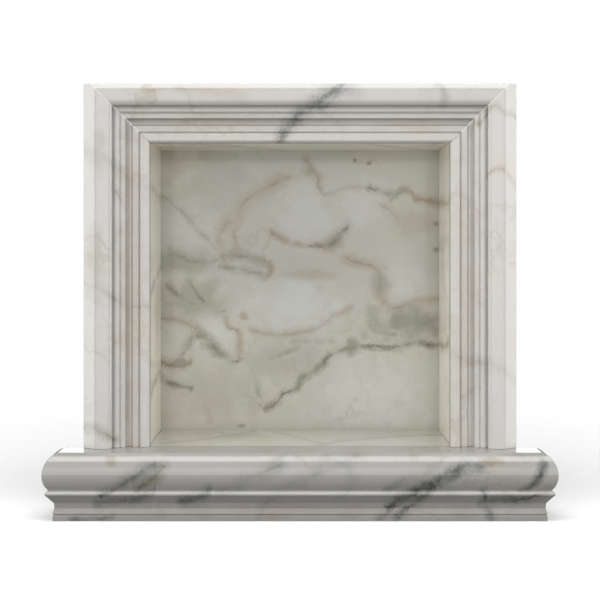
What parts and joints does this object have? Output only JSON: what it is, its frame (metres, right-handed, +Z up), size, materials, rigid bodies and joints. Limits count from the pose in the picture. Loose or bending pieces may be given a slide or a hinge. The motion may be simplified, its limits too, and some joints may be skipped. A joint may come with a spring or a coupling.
{
  "type": "shower niche",
  "caption": "Recessed wall niche in veined white marble: a square slab-lined recess inside a mitred moulded frame that stands on a projecting moulded sill.",
  "frame": {"origin": "middle of the sill's rear face, on the wall's bare face, behind its tiles", "axes": "+Z up, +Y into the wall, -Y out into the room, +X to the right seen from the room"},
  "size_m": [0.4956, 0.1531, 0.4268],
  "materials": {
    "framing_marble": "polished",
    "lining_marble": "polished"
  },
  "bodies": {
    "root": {"sill": "framing_marble", "left_jamb": "framing_marble", "right_jamb": "framing_marble", "top_rail": "framing_marble", "left_side_panel": "lining_marble", "right_side_panel": "lining_marble", "top_panel": "lining_marble", "floor_panel": "lining_marble", "back_panel": "lining_marble"}
  },
  "joints": []
}
